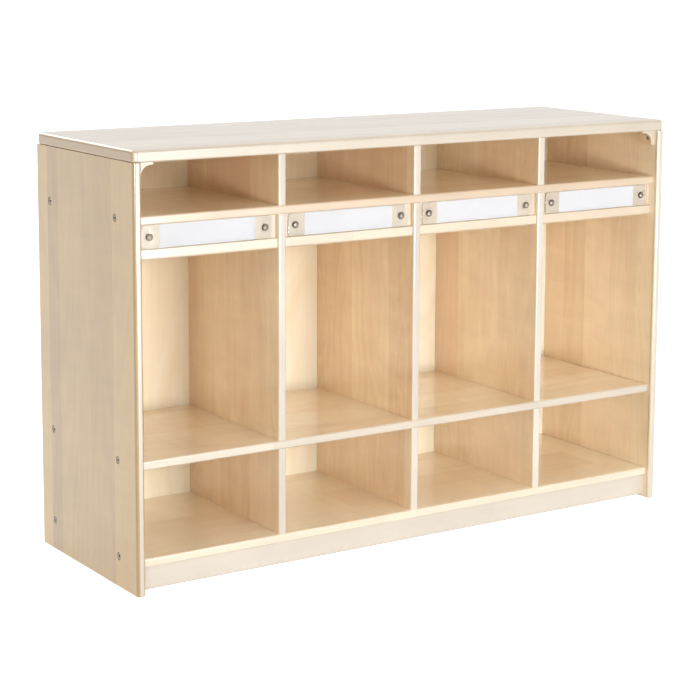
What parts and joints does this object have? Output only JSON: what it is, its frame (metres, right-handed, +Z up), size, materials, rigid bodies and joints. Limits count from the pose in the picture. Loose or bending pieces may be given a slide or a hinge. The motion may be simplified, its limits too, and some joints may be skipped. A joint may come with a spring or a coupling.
{
  "type": "school locker",
  "caption": "Open-front wooden coat locker for a classroom: cubbies above and below tall coat bays, each with a clear name-label holder and a hidden double hook.",
  "frame": {"origin": "on the floor under the middle of the locker's bounding box", "axes": "+Z up, +X along the width to the right as seen from the open front, the open front faces -Y"},
  "size_m": [1.219, 0.4, 0.8],
  "materials": {
    "solid_maple": "clear satin lacquer",
    "maple_plywood": "clear satin lacquer",
    "dowel_wood": "raw",
    "clear_plastic": "clear gloss",
    "white_card": "matt card",
    "plated_steel": "zinc plated",
    "hook_metal": "satin cast"
  },
  "bodies": {
    "root": {"back_panel": "maple_plywood", "back_panel_screws": "plated_steel", "base_shelf": "solid_maple", "coat_divider_1": "solid_maple", "coat_divider_2": "solid_maple", "coat_divider_3": "solid_maple", "coat_divider_dowels": "dowel_wood", "coat_hook_1": "hook_metal", "coat_hook_2": "hook_metal", "coat_hook_3": "hook_metal", "coat_hook_4": "hook_metal", "coat_hook_screws": "plated_steel", "corner_block_left": "solid_maple", "corner_block_right": "solid_maple", "corner_block_screws_left": "plated_steel", "corner_block_screws_right": "plated_steel", "kick_board": "solid_maple", "kick_board_dowels": "dowel_wood", "label_card_1": "white_card", "label_card_2": "white_card", "label_card_3": "white_card", "label_card_4": "white_card", "label_plate_1": "clear_plastic", "label_plate_2": "clear_plastic", "label_plate_3": "clear_plastic", "label_plate_4": "clear_plastic", "label_rail_1": "solid_maple", "label_rail_2": "solid_maple", "label_rail_3": "solid_maple", "label_rail_4": "solid_maple", "label_rail_dowels": "dowel_wood", "label_screws_1": "plated_steel", "label_screws_2": "plated_steel", "label_screws_3": "plated_steel", "label_screws_4": "plated_steel", "label_washers": "plated_steel", "left_barrel_nuts": "plated_steel", "left_connector_bolts": "plated_steel", "left_side_panel": "solid_maple", "lower_divider_1": "solid_maple", "lower_divider_2": "solid_maple", "lower_divider_3": "solid_maple", "lower_divider_dowels": "dowel_wood", "lower_shelf": "solid_maple", "right_barrel_nuts": "plated_steel", "right_connector_bolts": "plated_steel", "right_side_panel": "solid_maple", "shelf_dowels": "dowel_wood", "top_panel": "solid_maple", "top_panel_dowels": "dowel_wood", "upper_divider_1": "solid_maple", "upper_divider_2": "solid_maple", "upper_divider_3": "solid_maple", "upper_divider_dowels": "dowel_wood", "upper_shelf": "solid_maple"}
  },
  "joints": []
}
